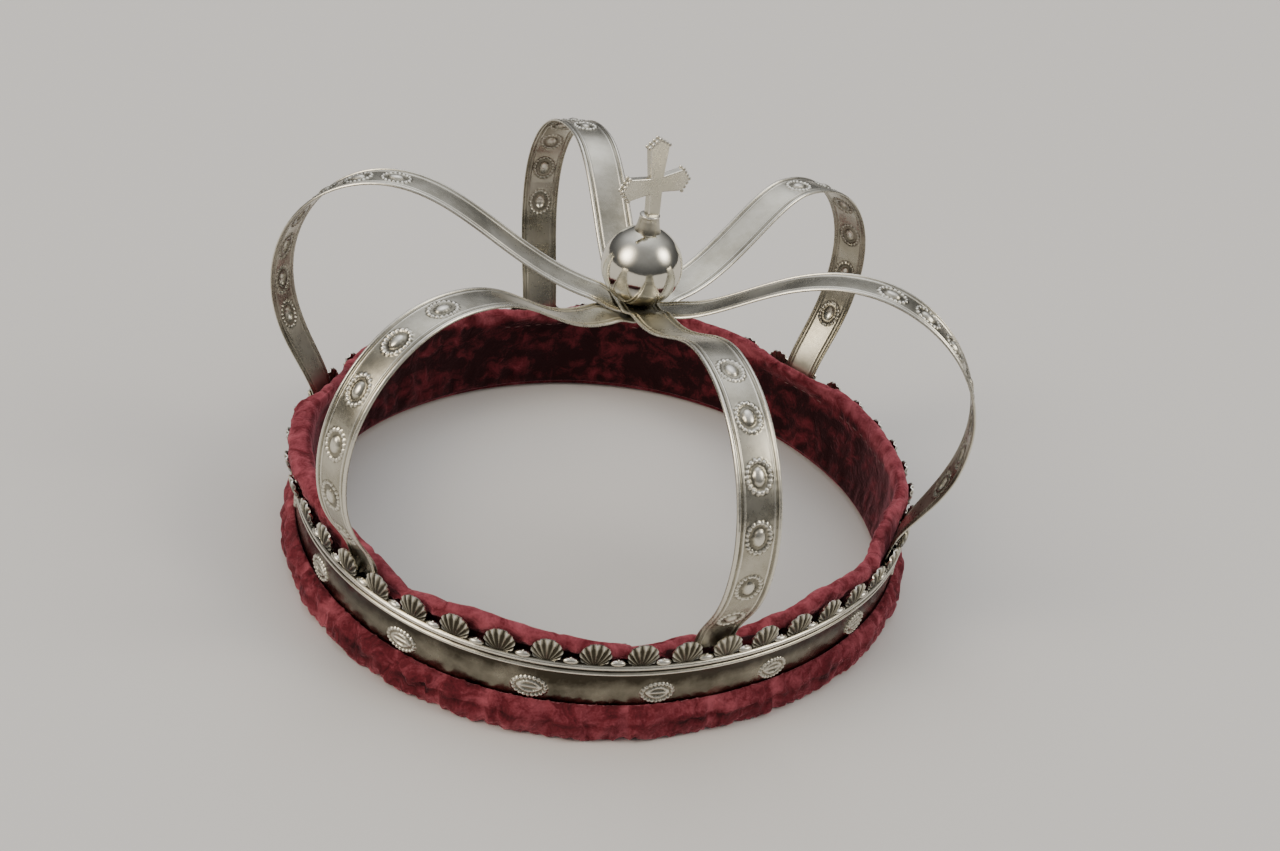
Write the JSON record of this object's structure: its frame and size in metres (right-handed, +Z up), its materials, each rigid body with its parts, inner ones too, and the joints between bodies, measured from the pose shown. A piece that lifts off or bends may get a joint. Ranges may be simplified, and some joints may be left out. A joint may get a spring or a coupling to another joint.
{
  "type": "bridal crown",
  "caption": "Closed bridal crown: a metal hoop with a shell crest and rosettes, crossed arched straps, an orb with a cross, and a dark red velvet lining.",
  "frame": {"origin": "on the surface that the crown rests on, at the middle of the crown's box", "axes": "+Z up towards the cross, -Y the front, +X to the right as seen from the front"},
  "size_m": [0.2104, 0.2162, 0.1386],
  "materials": {
    "silver": "aged polished silver, softly worn",
    "velvet": "crushed silk velvet, wine red"
  },
  "bodies": {
    "root": {"band": "silver", "strap_front_left_back_right": "silver", "strap_left_right": "silver", "strap_front_back": "silver", "orb": "silver", "cross": "silver", "hub_rivet": "silver", "velvet_lining": "velvet"}
  },
  "joints": []
}
